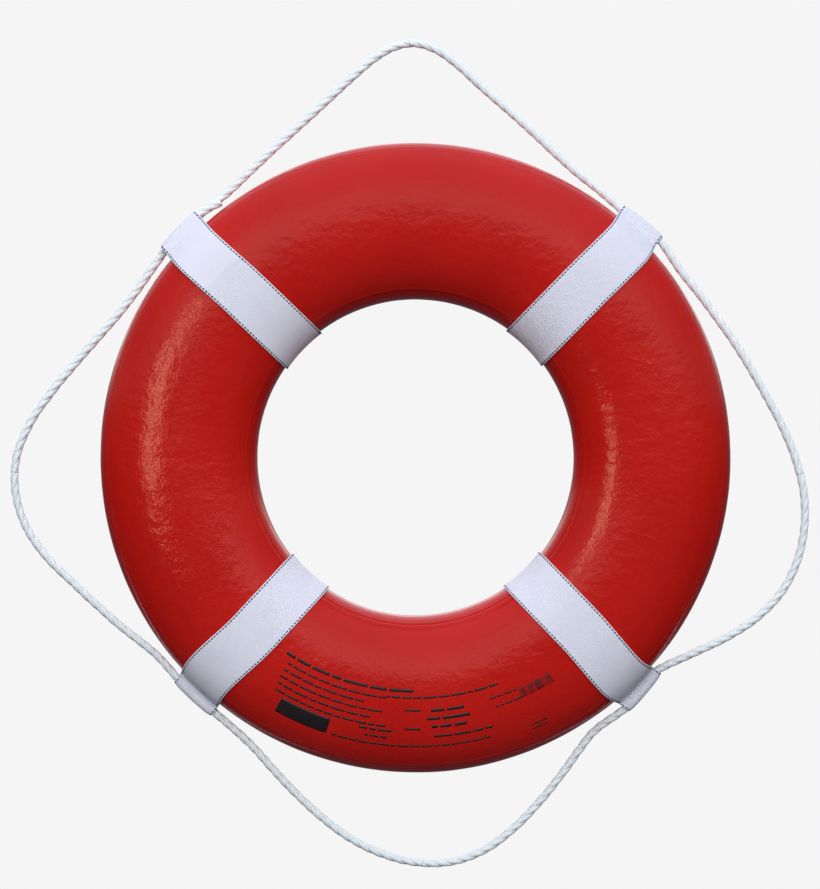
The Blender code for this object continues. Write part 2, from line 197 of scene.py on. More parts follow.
# Further sizes of the skin
FINE_STEPS = 4000
DENSER = 4.0  # extra points at the steps and the seam
DENSER_REACH = 0.003
SEAM_WIDTH = 0.0007
SEAM_CALM = 0.002  # the unevenness fades this near the seam
NOISE_SHIFT = 17.3
HOLLOW_DEPTH = 0.00020  # of a shallow hollow all round each face, outside its middle
HOLLOW_RADIUS = 0.2745
HOLLOW_WIDTH = 0.0055
RIPPLE_HEIGHT = 0.00012
RIPPLE_PITCH = 0.0027

# Further sizes of the webbing
SEWN_SLACK = 0.0001
OUTLINE_STEPS = 160
FOLD_STEPS = 24
SMOOTHINGS = 20
CORNER_ROUND = 0.0016  # how far the fold draws in at the webbing's edges
CORNER_POWER = 9
EDGE_STEPS = 5
UNDER_STEPS = 7
BAND_STEPS = 46
GROOVE_DEPTH = 0.00015
SELVEDGE_WIDTH = 0.0012
RIB_FADE = 0.003
STITCH_MARGIN = 0.0035
STITCH_HEIGHT = 0.0006
PILL_SIDES = 8
WEB_MIDDLE = 0.0020  # from the web's inner side to the stitches
LAP_GAP = 0.00005
LAP_TIP = 0.012
LAP_END = 0.05  # thickness that is left at the very tip, as a share of the taper
LAP_RIBS = 0.45
LAP_NARROW = 0.996
LAP_STITCH_INSETS = (0.004, 0.0075)
WARP_PITCH = 0.0011

# Further sizes of the line
STRAND_SWELL = 0.02
STRAND_SWELL_RATE = 190
YARN_PITCH = math.tau * STRAND_RADIUS / 14
YARN_SLOPE = 0.55 + math.tau * STRAND_RADIUS / LAY_LENGTH  # across a strand for each metre along it

# Printed rows: clock angles, radius, height and usual word length
PRINT_ROWS = (
    (180.5, 213.5, 0.2220, 0.0030, 0.016),
    (187.0, 212.0, 0.2300, 0.0020, 0.011),
    (192.0, 212.0, 0.2368, 0.0020, 0.010),
    (187.5, 212.0, 0.2436, 0.0020, 0.012),
    (190.0, 211.5, 0.2504, 0.0020, 0.010),
    (186.5, 211.0, 0.2572, 0.0020, 0.009),
    (160.0, 187.0, 0.2285, 0.0021, 0.010),
    (169.0, 176.5, 0.2410, 0.0030, 0.018),
    (168.0, 177.5, 0.2488, 0.0030, 0.018),
    (169.0, 176.5, 0.2566, 0.0030, 0.014),
    (164.0, 177.0, 0.2660, 0.0022, 0.012),
    (165.0, 197.0, 0.2755, 0.0018, 0.009),
    (185.0, 192.0, 0.2615, 0.0022, 0.012),
    (186.0, 190.5, 0.2680, 0.0022, 0.010),
    (156.5, 163.5, 0.2400, 0.0017, 0.006),
    (156.0, 162.5, 0.2490, 0.0017, 0.006),
    (153.0, 156.5, 0.2780, 0.0015, 0.006),
    (153.5, 156.5, 0.2820, 0.0015, 0.005),
)
# Printed blocks: clock angle, radius, width, height
PRINT_BLOCKS = (
    (203.6, 0.2690, 0.0520, 0.0150),
    (180.6, 0.2405, 0.0150, 0.0020),
    (180.6, 0.2585, 0.0150, 0.0020),
)
STRIPE_BLOCK = (148.4, 156.0, 0.2450, 0.0100)
STRIPE_WIDTHS = (0.0005, 0.0008, 0.0012)
PRINT_SEED = 4
WORD_SHARES = (0.45, 1.5)  # of the usual word length
PRINT_SPACE = 0.9  # between words, as a share of the row's height
INK_STEP = 0.002
INK_LIFT = 0.00006

# Fine relief of the materials, in metres
WRINKLE_BUMP = 0.00085
PEEL_BUMP = 0.00007
GRAIN_BUMP = 0.000012
WEAVE_BUMP = 0.00005
FUZZ_BUMP = 0.00003
TWIST_BUMP = 0.00005
TWIST_PITCH = 0.0007
YARN_BUMP = 0.000009
LUMP_BUMP = 0.000012
INK_BUMP = 0.00004
CELL_BUMP = 0.0003
RIM_WRINKLES = 0.12  # share of the wrinkles left at the rims
# Shares of the webbing's threads in its weave
WARP_SHARE = 0.55
CROSSING_SHARE = 0.25
RIB_SHARE = 0.9

# Colours
VINYL_DEEP = (0.47, 0.0088, 0.0055, 1)
VINYL_BRIGHT = (0.52, 0.0115, 0.0072, 1)
VINYL_RUBBED = (0.50, 0.045, 0.035, 1)
WEBBING_CLEAN = (0.83, 0.85, 0.95, 1)
WEBBING_GREYED = (0.77, 0.78, 0.87, 1)
# Darker webbing tone: painted shade in the weave's valleys, and the webbing's own darker slubs
WEBBING_SLUBS_AND_PAINTED_SHADE = (0.50, 0.52, 0.63, 1)
NAVY = (0.018, 0.028, 0.075, 1)
NAVY_PALE = (0.06, 0.08, 0.16, 1)
THREAD_PALE = (0.78, 0.80, 0.86, 1)
THREAD_SHADE = (0.62, 0.64, 0.70, 1)
LINE_CLEAN = (0.84, 0.92, 0.95, 1)
LINE_GREYED = (0.79, 0.87, 0.90, 1)
# Darker line tone: painted shade between the yarns, and the line's own darker hairs
LINE_HAIRS_AND_PAINTED_SHADE = (0.68, 0.70, 0.70, 1)
INK = (0.010, 0.009, 0.010, 1)
INK_THIN = (0.09, 0.012, 0.010, 1)
FOAM_PALE = (0.86, 0.85, 0.80, 1)
FOAM_SHADE = (0.70, 0.69, 0.64, 1)
FLOOR_PALE = (0.59, 0.575, 0.54, 1)
FLOOR_PALER = (0.62, 0.605, 0.57, 1)

# Surroundings
DOME_RADIUS = 12.0
FLOOR_RADIUS = 4.4
FLOOR_LEVEL = -1.6
SKY_STRENGTH = 1.06
SKY_STRENGTH_ASIDE = 0.30
SKY_SIDES = (0.40, 0.85)  # from where to where the sky dims towards the left and right
# Height of a direction above the horizon, as a sine, and the light that comes from there
SKY_STOPS = (
    (-1.0, (0.09, 0.09, 0.11)),
    (-0.04, (0.13, 0.13, 0.15)),
    (0.11, (0.36, 0.36, 0.37)),
    (0.22, (1.80, 1.72, 1.66)),
    (0.40, (1.30, 1.30, 1.38)),
    (0.60, (0.95, 1.02, 1.20)),
    (1.0, (1.05, 1.12, 1.30)),
)
# Name, place, size, power, colour, whether gloss shows it
LAMPS = (
    ("lamp_front", (-0.25, -3.2, 0.95), (3.0, 2.0), 56, (1.0, 0.99, 0.97), False),
    ("lamp_rear", (0.25, 3.2, 0.95), (3.0, 2.0), 56, (1.0, 0.99, 0.97), False),
    ("lamp_warm", (-0.84, -1.45, -0.24), (0.32, 0.60), 6.0, (1.0, 0.70, 0.42), True),
)


# Mesh helpers


def grid_faces(rows, columns, closed, first=0):
    """Quads of a grid whose columns close on themselves, with the row and column of each corner."""
    i = np.arange(rows if closed else rows - 1)
    j = np.arange(columns)
    i, j = (a.ravel() for a in np.meshgrid(i, j, indexing="ij"))
    row = np.stack([i, i, i + 1, i + 1], axis=1)
    column = np.stack([j, j + 1, j + 1, j], axis=1)
    return first + (row % rows) * columns + column % columns, row, column


def faces_inward(grid):
    """True if the quads of a tube, rows along it and columns round it, would point into it."""
    middle = len(grid) // 2
    ring = grid[middle]
    area = np.cross(ring, np.roll(ring, -1, axis=0)).sum(axis=0)
    ahead = grid[middle].mean(axis=0) - grid[middle - 1].mean(axis=0)
    area -= np.cross(ring.mean(axis=0), (np.roll(ring, -1, axis=0) - ring).sum(axis=0))
    return np.dot(area, ahead) < 0


def with_next(values):
    """The values and one more in the same step, for the corner where a closed run meets itself."""
    return np.append(values, 2 * values[-1] - values[-2])


def tubes(name, grids, material, laid, closed=False):
    """One object of closed tubes, each a grid of points with rows along it and columns round it.

    laid gives each tube's distances along and round it, for the uv layer. A tube has caps
    unless it closes on itself.
    """
    points, faces, layer, caps = [], [], [], []
    first = 0
    for grid, (along, round_it) in zip(grids, laid):
        rows, columns = grid.shape[:2]
        quads, row, column = grid_faces(rows, columns, closed, first)
        uv = np.stack([with_next(along)[row], with_next(round_it)[column]], axis=2)
        order = -1 if faces_inward(grid) else 1
        faces += quads[:, ::order].tolist()
        layer.append(uv[:, ::order].reshape(-1, 2))
        if not closed:
            ends = [list(range(first, first + columns))[::-1]]
            ends.append(list(range(first + (rows - 1) * columns, first + rows * columns)))
            caps += [len(faces), len(faces) + 1]
            faces += [end[::order] for end in ends]
            layer.append(np.zeros((2 * columns, 2)))
        points.append(grid.reshape(-1, 3))
        first += rows * columns
    mesh = bpy.data.meshes.new(name)
    mesh.from_pydata(np.concatenate(points).tolist(), [], faces)
    mesh.materials.append(material)
    mesh.shade_smooth()
    mesh.uv_layers.new(name="lay").data.foreach_set("uv", np.concatenate(layer).astype(np.float32).ravel())
    flat = np.zeros(len(faces), bool)
    flat[caps] = True
    mesh.attributes.new("sharp_face", "BOOLEAN", "FACE").data.foreach_set("value", flat)
    obj = bpy.data.objects.new(name, mesh)
    bpy.context.scene.collection.objects.link(obj)
    return obj


def bell(distance, spread):
    return np.exp(-((distance / spread) ** 2))


def eased(value):
    """A smooth step from 0 to 1 as the value goes from 0 to 1."""
    t = np.clip(value, 0, 1)
    return t * t * (3 - 2 * t)


# Material helpers


def add_node(tree, kind, inputs=None, **settings):
    """A shader node of this kind. An input takes a value, or the socket that it is linked to."""
    node = tree.nodes.new("ShaderNode" + kind)
    for key, value in settings.items():
        setattr(node, key, value)
    for key, value in (inputs or {}).items():
        if isinstance(value, bpy.types.NodeSocket):
            tree.links.new(value, node.inputs[key])
        else:
            node.inputs[key].default_value = value
    return node


def maths(tree, operation, a, b=0.0):
    return add_node(tree, "Math", {0: a, 1: b}, operation=operation).outputs[0]


def times(tree, a, b):
    return maths(tree, "MULTIPLY", a, b)


def noise_at(tree, place, scale, detail=3.0, rough=0.5):
    inputs = {"Vector": place, "Scale": scale, "Detail": detail, "Roughness": rough}
    return add_node(tree, "TexNoise", inputs).outputs["Fac"]


def ranged(tree, value, low, high, to_low, to_high):
    inputs = {0: value, 1: low, 2: high, 3: to_low, 4: to_high}
    return add_node(tree, "MapRange", inputs).outputs[0]


def mixed(tree, share, a, b):
    """A colour between two, each a colour or a socket."""
    inputs = {0: share, 6: a, 7: b}
    return add_node(tree, "Mix", inputs, data_type="RGBA").outputs[2]


def bumped(tree, height, distance, under=None):
    inputs = {"Height": height, "Distance": distance, "Strength": 1.0}
    if under is not None:
        inputs["Normal"] = under
    return add_node(tree, "Bump", inputs).outputs[0]


def new_material(name, roughness, specular=0.5):
    material = bpy.data.materials.new(name)
    material.use_nodes = True
    shader = material.node_tree.nodes["Principled BSDF"]
    shader.inputs["Roughness"].default_value = roughness
    shader.inputs["Specular IOR Level"].default_value = specular
    return material, material.node_tree, shader


def feed(tree, shader, colour, roughness, normal):
    """Links the shader's three main sockets."""
    for name, socket in (("Base Color", colour), ("Roughness", roughness), ("Normal", normal)):
        tree.links.new(socket, shader.inputs[name])


def surface_place(tree):
    return add_node(tree, "TexCoord").outputs["Object"]


def laid_place(tree):
    """Distances along and across a piece, from its uv layer, and both as one vector."""
    vector = add_node(tree, "UVMap", uv_map="lay").outputs[0]
    parts = add_node(tree, "SeparateXYZ", {0: vector})
    return parts.outputs[0], parts.outputs[1], vector


def wave(tree, value, pitch):
    """A sine of a distance, from -1 to 1."""
    return maths(tree, "SINE", times(tree, value, math.tau / pitch))


def on_crown(tree, place):
    """1 on the ring's faces, falling towards the rims."""
    away = add_node(tree, "VectorMath", {0: place, 1: RING_CENTRE}, operation="SUBTRACT").outputs[0]
    flat = add_node(tree, "VectorMath", {0: away, 1: (1, 0, 1)}, operation="MULTIPLY").outputs[0]
    radius = add_node(tree, "VectorMath", {0: flat}, operation="LENGTH").outputs["Value"]
    aside = maths(tree, "ABSOLUTE", maths(tree, "SUBTRACT", radius, MIDDLE_RADIUS))
    return ranged(tree, aside, *CROWN_EDGE, 1, RIM_WRINKLES)


def vinyl_material():
    """Dip-coated vinyl: glossy, with orange peel, faint clouds in the colour and rubbed patches."""
    material, tree, shader = new_material("red_vinyl", 0.2, 0.2)
    place = surface_place(tree)
    clouds = ranged(tree, noise_at(tree, place, 9, 4), 0.35, 0.65, 0, 1)
    colour = mixed(tree, clouds, VINYL_DEEP, VINYL_BRIGHT)
    rubbed = ranged(tree, noise_at(tree, place, 70, 5, 0.65), 0.62, 0.80, 0, 0.12)
    colour = mixed(tree, rubbed, colour, VINYL_RUBBED)
    worn = ranged(tree, noise_at(tree, place, 26, 5, 0.6), 0.42, 0.72, 0, 1)
    fine = noise_at(tree, place, 300, 3)
    rough = maths(tree, "ADD", ranged(tree, worn, 0, 1, 0.11, 0.18), ranged(tree, fine, 0.3, 0.7, 0, 0.03))
    wrinkles = times(tree, noise_at(tree, place, 90, 4, 0.6), on_crown(tree, place))
    wrinkle = bumped(tree, wrinkles, WRINKLE_BUMP)
    peel = bumped(tree, noise_at(tree, place, 420, 2), PEEL_BUMP, wrinkle)
    grain = bumped(tree, noise_at(tree, place, 1100, 2), GRAIN_BUMP, peel)
    feed(tree, shader, colour, rough, grain)
    return material


def webbing_material(name, smooth_share):
    """Woven webbing: ribs across it, warp threads along it, faint greying and a pale selvedge."""
    material, tree, shader = new_material(name, 0.78, 0.3)
    shader.inputs["Sheen Weight"].default_value = 0.12
    shader.inputs["Sheen Roughness"].default_value = 0.5
    along, across, vector = laid_place(tree)
    rib = wave(tree, maths(tree, "ADD", along, RIB_PITCH / 4), RIB_PITCH)
    warp = wave(tree, across, WARP_PITCH)
    crossing = wave(tree, maths(tree, "ADD", across, times(tree, along, 0.5)), WARP_PITCH / 2)
    warps = times(tree, warp, WARP_SHARE)
    crossings = times(tree, crossing, CROSSING_SHARE)
    weave = maths(tree, "ADD", warps, crossings)
    weave = maths(tree, "ADD", weave, times(tree, rib, RIB_SHARE))
    place = surface_place(tree)
    grey = ranged(tree, noise_at(tree, place, 22, 5, 0.6), 0.40, 0.75, 0, 0.55)
    colour = mixed(tree, grey, WEBBING_CLEAN, WEBBING_GREYED)
    # Painted shade: the valleys between ribs and warp threads are darkened, less on the smoother lapped end
    painted_valley_shade = ranged(tree, weave, -1.4, 0.7, 0.5 * smooth_share - 0.14, 0)
    colour = mixed(tree, painted_valley_shade, colour, WEBBING_SLUBS_AND_PAINTED_SHADE)
    slubs = ranged(tree, noise_at(tree, vector, 700, 2), 0.35, 0.7, 0.16, 0)
    colour = mixed(tree, slubs, colour, WEBBING_SLUBS_AND_PAINTED_SHADE)
    threads = bumped(tree, weave, WEAVE_BUMP * smooth_share)
    fuzz = bumped(tree, noise_at(tree, vector, 1500, 2), FUZZ_BUMP, threads)
    feed(tree, shader, colour, ranged(tree, weave, -1, 1, 0.86, 0.70), fuzz)
    return material


def thread_material(name, colour, dark):
    """Twisted thread."""
    material, tree, shader = new_material(name, 0.6, 0.35)
    place = surface_place(tree)
    share = ranged(tree, noise_at(tree, place, 900, 3), 0.35, 0.7, 0, 1)
    along, round_it, _ = laid_place(tree)
    twist = bumped(tree, wave(tree, maths(tree, "ADD", along, round_it), TWIST_PITCH), TWIST_BUMP)
    feed(tree, shader, mixed(tree, share, colour, dark), ranged(tree, share, 0, 1, 0.5, 0.7), twist)
    return material


def line_material():
    """White fibre strands: yarns that run nearly along the line, with a little painted shade between them."""
    material, tree, shader = new_material("line_fibre", 0.6, 0.2)
    along, round_it, vector = laid_place(tree)
    slant = maths(tree, "SUBTRACT", round_it, times(tree, along, YARN_SLOPE))
    yarn = wave(tree, slant, YARN_PITCH)
    place = surface_place(tree)
    patch = ranged(tree, noise_at(tree, place, 60, 4), 0.35, 0.7, 0, 1)
    colour = mixed(tree, patch, LINE_CLEAN, LINE_GREYED)
    # Painted shade in the grooves between yarns
    colour = mixed(tree, ranged(tree, yarn, -1, 0.4, 0.05, 0), colour, LINE_HAIRS_AND_PAINTED_SHADE)
    hairs = ranged(tree, noise_at(tree, vector, 600, 3), 0.3, 0.7, 0.05, 0)
    colour = mixed(tree, hairs, colour, LINE_HAIRS_AND_PAINTED_SHADE)
    yarns = bumped(tree, yarn, YARN_BUMP)
    lumps = bumped(tree, noise_at(tree, place, 300, 2), LUMP_BUMP, yarns)
    feed(tree, shader, colour, ranged(tree, yarn, -1, 1, 0.7, 0.5), lumps)
    return material


def ink_material():
    """Screen-printed ink, a little thin in places."""
    material, tree, shader = new_material("print_ink", 0.42, 0.4)
    place = surface_place(tree)
    thin = ranged(tree, noise_at(tree, place, 700, 4, 0.65), 0.52, 0.74, 0, 0.55)
    uneven = bumped(tree, noise_at(tree, place, 900, 2), INK_BUMP)
    rough = ranged(tree, thin, 0, 0.5, 0.38, 0.5)
    feed(tree, shader, mixed(tree, thin, INK, INK_THIN), rough, uneven)
    return material


def foam_material():
    """Cut closed-cell foam."""
    material, tree, shader = new_material("foam_cells", 0.9, 0.3)
    place = surface_place(tree)
    cells = add_node(tree, "TexVoronoi", {"Vector": place, "Scale": 500.0}).outputs["Distance"]
    colour = mixed(tree, cells, FOAM_PALE, FOAM_SHADE)
    feed(tree, shader, colour, ranged(tree, cells, 0, 1, 0.95, 0.8), bumped(tree, cells, CELL_BUMP))
    return material


# Camera, light and surroundings


def add_camera():
    data = bpy.data.cameras.new("camera")
    data.sensor_width = SENSOR
    data.lens = SENSOR * CAMERA_DISTANCE / VIEW_HEIGHT
    data.clip_end = 100
    camera = bpy.data.objects.new("camera", data)
    camera.location = (VIEW_MIDDLE[0], -CAMERA_DISTANCE, VIEW_MIDDLE[1])
    camera.rotation_euler = (math.radians(90), 0, 0)
    bpy.context.scene.collection.objects.link(camera)
    bpy.context.scene.camera = camera


def add_world():
    """A soft sky above the horizon, dimmer to the left and right, and a dim ground below it."""
    world = bpy.data.worlds.new("studio")
    bpy.context.scene.world = world
    world.use_nodes = True
    tree = world.node_tree
    direction = add_node(tree, "TexCoord").outputs["Generated"]
    parts = add_node(tree, "SeparateXYZ", {0: direction})
    stops = add_node(tree, "ValToRGB", {0: ranged(tree, parts.outputs[2], -1, 1, 0, 1)})
    ramp = stops.color_ramp
    for element, (at, colour) in zip(ramp.elements, (SKY_STOPS[0], SKY_STOPS[-1])):
        element.position = (at + 1) / 2
        element.color = (*colour, 1)
    for at, colour in SKY_STOPS[1:-1]:
        ramp.elements.new((at + 1) / 2).color = (*colour, 1)
    background = tree.nodes["Background"]
    aside = maths(tree, "ABSOLUTE", parts.outputs[0])
    strength = ranged(tree, aside, *SKY_SIDES, SKY_STRENGTH, SKY_STRENGTH_ASIDE)
    tree.links.new(strength, background.inputs["Strength"])
    tree.links.new(stops.outputs[0], background.inputs["Color"])


def add_lamp(name, place, size, power, colour, mirrored):
    """A soft rectangular lamp aimed at the ring. Only a mirrored one shows in gloss, and it does no more."""
    data = bpy.data.lights.new(name, "AREA")
    data.shape = "RECTANGLE"
    data.size, data.size_y = size
    data.energy = power
    data.color = colour
    lamp = bpy.data.objects.new(name, data)
    lamp.location = place
    lamp.visible_glossy = mirrored
    lamp.visible_diffuse = not mirrored
    lamp.visible_camera = False
    aim = Vector(RING_CENTRE) - Vector(place)
    lamp.rotation_euler = aim.to_track_quat("-Z", "Y").to_euler()
    bpy.context.scene.collection.objects.link(lamp)


def seen_only(obj):
    """Leaves an object out of the light and the reflections."""
    for ray in ("diffuse", "glossy", "transmission", "shadow"):
        setattr(obj, f"visible_{ray}", False)


def add_surroundings():
    """A pale floor and, far behind everything, an even pale backdrop."""
    bpy.ops.mesh.primitive_uv_sphere_add(segments=64, ring_count=32, radius=DOME_RADIUS)
    dome = bpy.context.object
    dome.name = "backdrop"
    dome.data.shade_smooth()
    material = bpy.data.materials.new("backdrop_paint")
    material.use_nodes = True
    tree = material.node_tree
    tree.nodes.clear()
    glow = add_node(tree, "Emission", {"Color": PALE})
    surface = add_node(tree, "OutputMaterial")
    tree.links.new(glow.outputs[0], surface.inputs[0])
    dome.data.materials.append(material)
    bpy.ops.mesh.primitive_circle_add(
        vertices=96, radius=FLOOR_RADIUS, fill_type="NGON", location=(0, 0, FLOOR_LEVEL)
    )
    floor = bpy.context.object
    floor.name = "floor"
    paint, tree, shader = new_material("floor_paint", 0.8, 0.2)
    speckle = ranged(tree, noise_at(tree, surface_place(tree), 30, 4), 0.3, 0.7, 0, 1)
    tree.links.new(mixed(tree, speckle, FLOOR_PALE, FLOOR_PALER), shader.inputs["Base Color"])
    floor.data.materials.append(paint)
    for obj in (dome, floor):
        seen_only(obj)


# Cross-section of the ring, in (radius, depth); depth is positive towards the rear


def phase_at(radius):
    """The section's phase, 0 at the outer rim and pi at the inner one, at this radius."""
    x = (np.asarray(radius) - MIDDLE_RADIUS) / SECTION_A
    return np.arccos(np.sign(x) * np.abs(x) ** (SECTION_POWER / 2))


def section(phase, offset=0.0):
    """Points of the crown's rear outline moved out along the normal, and the normals."""
    c = np.cos(phase)
    s = np.maximum(np.sin(phase), 0)
    x = SECTION_A * np.sign(c) * np.abs(c) ** (2 / SECTION_POWER)
    y = SECTION_B * s ** (2 / SECTION_POWER)
    normal = np.stack(
        [
            np.sign(x) * np.abs(x / SECTION_A) ** (SECTION_POWER - 1) / SECTION_A,
            (y / SECTION_B) ** (SECTION_POWER - 1) / SECTION_B,
        ],
        axis=-1,
    )
    normal /= np.linalg.norm(normal, axis=-1, keepdims=True)
    point = np.stack([MIDDLE_RADIUS + x, y], axis=-1)
    return point + np.asarray(offset)[..., None] * normal, normal


def distances(points, closed=False):
    """How far along a run of points each one is; a closed run's whole length comes last."""
    run = np.concatenate([points, points[:1]]) if closed else points
    steps = np.linalg.norm(np.diff(run, axis=0), axis=1)
    return np.concatenate([[0], np.cumsum(steps)])


def directions(clock):
    """Outward and clockwise unit vectors at a clock angle, or at each of several."""
    a = np.radians(clock)
    zero = np.zeros_like(a)
    return np.stack([np.sin(a), zero, np.cos(a)], -1), np.stack([np.cos(a), zero, -np.sin(a)], -1)


# Grab line


def to_world(clock, radius, across=0.0, depth=0.0):
    """A world point at this radius from the ring's axis, across from the clock angle's middle line."""
    out, clockwise = directions(clock)
    return Vector(RING_CENTRE + out * math.sqrt(radius**2 - across**2) + clockwise * across + (0, depth, 0))


def line_point(corner, across, radius=LINE_CIRCLE, depth=0.0):
    """A point of the line's axis in or near a becket, whose fold may be tilted."""
    return to_world(BECKET_CLOCK[corner], radius + TILT[corner] * across, across, depth)


def smooth_path(points):
    """Dense points on a centripetal Catmull-Rom curve from the second point to the last but one."""
    path = [points[1]]
    for p0, p1, p2, p3 in zip(points, points[1:], points[2:], points[3:]):
        t1 = math.sqrt((p1 - p0).length)
        t2 = t1 + math.sqrt((p2 - p1).length)
        t3 = t2 + math.sqrt((p3 - p2).length)
        for step in range(1, PATH_STEPS + 1):
            t = t1 + (t2 - t1) * step / PATH_STEPS
            a1 = p0.lerp(p1, t / t1)
            a2 = p1.lerp(p2, (t - t1) / (t2 - t1))
            a3 = p2.lerp(p3, (t - t2) / (t3 - t2))
            b1 = a1.lerp(a2, t / t2)
            b2 = a2.lerp(a3, (t - t1) / (t3 - t1))
            path.append(b1.lerp(b2, (t - t1) / (t2 - t1)))
    return path


def bight_path(name):
    """The line's axis from the middle of one becket to the middle of the next."""
    start, end = BIGHT_ENDS[name]
    inside = HALF_WIDTH - TUNNEL_STRAIGHT
    points = [line_point(start, across) for across in (-inside, 0, inside, HALF_WIDTH)]
    points += [to_world(clock, RIM_RADIUS + standoff) for clock, standoff in ROUTE[name]]
    points += [line_point(end, across) for across in (-HALF_WIDTH, -inside, 0, inside)]
    return np.array(smooth_path(points))


def point_along(path, distance):
    """Points at these distances along a path."""
    run = distances(path)
    return np.stack([np.interp(distance, run, path[:, k]) for k in range(3)], axis=-1)


def part_of(path, start, end):
    """The stretch of a path between two distances along it."""
    run = distances(path)
    inner = path[(run > start) & (run < end)]
    return np.concatenate([point_along(path, [start]), inner, point_along(path, [end])])


def tail_path(left):
    """The last bight's path, then across the becket, in front of the first end, and out as a tail."""
    length = distances(left)[-1]
    short = LINE_DIAMETER / 2 + LINE_START_GAP
    mouth = HALF_WIDTH
    corner = LAPPED_CORNER
    guide = [Vector(point_along(left, length - PIVOT_DISTANCE + side * short)) for side in (-1, 1)]
    guide += [
        line_point(corner, CROSSING_MIDDLE * mouth, depth=-LAP_SPACING / 2),
        line_point(corner, CROSSING_END * mouth, depth=-LAP_SPACING),
        line_point(corner, mouth - TUNNEL_STRAIGHT, depth=-LAP_SPACING),
        line_point(corner, mouth, depth=-LAP_SPACING),
        line_point(corner, (mouth + TAIL_REACH) / 2, LINE_CIRCLE - TAIL_BEND, -LAP_SPACING),
        line_point(corner, TAIL_REACH, TAIL_RADIUS, -LAP_SPACING),
    ]
    guide.append(2 * guide[-1] - guide[-2])
    before = part_of(left, 0, length - PIVOT_DISTANCE - short)
    return np.concatenate([before[:-1], np.array(smooth_path([2 * guide[0] - guide[1]] + guide))])


def strand_tubes(whole, start, end, turned):
    """Three strands laid round a stretch of a path. turned is the line's length before it."""
    stations = np.linspace(start, end, max(2, round((end - start) / LINE_STEP)) + 1)
    centre = point_along(whole, stations)
    ahead = point_along(whole, stations + LINE_STEP) - point_along(whole, stations - LINE_STEP)
    ahead /= np.linalg.norm(ahead, axis=1, keepdims=True)
    side = np.cross((0, 1, 0), ahead)
    side /= np.linalg.norm(side, axis=1, keepdims=True)
    third = np.cross(ahead, side)
    around = np.arange(STRAND_SIDES) * math.tau / STRAND_SIDES
    along = turned + stations - start
    grids, laid = [], []
    for strand in range(3):
        lay = math.tau * (along / LAY_LENGTH + strand / 3)
        swell = 1 + STRAND_SWELL * np.sin(along * STRAND_SWELL_RATE + strand)
        middle = centre + STRAND_CIRCLE * (np.cos(lay)[:, None] * side + np.sin(lay)[:, None] * third)
        ring = np.cos(around)[:, None] * side[:, None] + np.sin(around)[:, None] * third[:, None]
        grids.append(middle[:, None] + STRAND_RADIUS * swell[:, None, None] * ring)
        laid.append((along, around * STRAND_RADIUS))
    return grids, laid


def add_line_piece(name, whole, ends, turned, nodes, material):
    """A stretch of a whole path, with three strands laid round it. Gives the stretch's length.
    """
    path = part_of(whole, *ends)
    grids, laid = strand_tubes(whole, *ends, turned)
    piece = tubes(name, grids, material, laid)
    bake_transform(piece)
    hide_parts(*nodes)
    return distances(path)[-1]


def add_line(material):
    """The whole line in eight pieces, each from a becket's middle to a bight's, or back."""
    turned = 0.0
    for name, (start, end) in BIGHT_ENDS.items():
        path = bight_path(name)
        length = distances(path)[-1]
        whole = tail_path(path) if name == "left" else path
        ends = (LINE_START_GAP if name == "top" else 0, length / 2)
        nodes = [f"grab_line_{name}_bight"] + (["grab_line_first_end"] if name == "top" else [])
        turned += add_line_piece(
            f"line_{name}_from_{start}", whole, ends, turned, nodes, material
        )
        ends = (length / 2, distances(whole)[-1])
        nodes = ["grab_line_last_end"] if name == "left" else [f"grab_line_in_{end}"]
        turned += add_line_piece(
            f"line_{name}_to_{end}", whole, ends, turned, nodes, material
        )


# Vinyl skin


def relief(points, clock, radius, front):
    """Height of the skin's unevenness at world points."""
    height = np.zeros(len(points))
    for layer, (rate, size) in enumerate(SKIN_NOISE):
        shift = Vector((layer * NOISE_SHIFT, 0, 0))
        height += [size * noise.noise(Vector(p) * rate + shift) for p in points]
    if front:
        for at, away, tall, spread in BLISTERS:
            aside = np.radians((clock - at + 180) % 360 - 180) * away
            height += tall * bell(np.hypot(aside, radius - away), spread)
    height -= HOLLOW_DEPTH * bell(radius - HOLLOW_RADIUS, HOLLOW_WIDTH)
    low = eased((np.cos(np.radians(clock - 180)) - 0.35) / 0.5)
    inside = bell(radius - HOLE_RADIUS - INNER_RIM_WIDTH / 2, INNER_RIM_WIDTH / 2)
    return height + RIPPLE_HEIGHT * low * inside * np.sin((radius - HOLE_RADIUS) * math.tau / RIPPLE_PITCH)


def skin_outline():
    """The rear half's outer outline with its two steps and lips, as points and normals."""
    fine = np.linspace(0, math.pi, FINE_STEPS)
    points, _ = section(fine)
    run = distances(points)
    steps = [
        float(np.interp(radius, points[::-1, 0], run[::-1]))
        for radius in (RIM_RADIUS - OUTER_RIM_WIDTH, HOLE_RADIUS + INNER_RIM_WIDTH)
    ]
    ends = (0, run[-1])
    density = 1 + sum(DENSER * bell(run - at, DENSER_REACH) for at in (*steps, *ends))
    cumulative = np.concatenate([[0], np.cumsum((density[1:] + density[:-1]) / 2 * np.diff(run))])
    wanted = np.linspace(0, cumulative[-1], SECTION_STEPS)
    phases = np.interp(wanted, cumulative, fine)
    run = np.interp(phases, fine, run)
    offset = np.zeros(len(run))
    for at, way in zip(steps, (1, -1)):
        onto_crown = way * (run - at)
        offset -= RIM_STEP * (1 - eased(onto_crown / STEP_WIDTH + 0.5))
        offset += LIP_HEIGHT * bell(onto_crown - STEP_WIDTH, LIP_WIDTH)
        offset -= LIP_HEIGHT * bell(onto_crown + STEP_WIDTH, LIP_WIDTH)
    for at in ends:
        offset -= SEAM_DEPTH * bell(run - at, SEAM_WIDTH)
    points, normals = section(phases, offset)
    points[:, 1] = np.maximum(points[:, 1], SEAM_GAP / 2)
    return points, normals


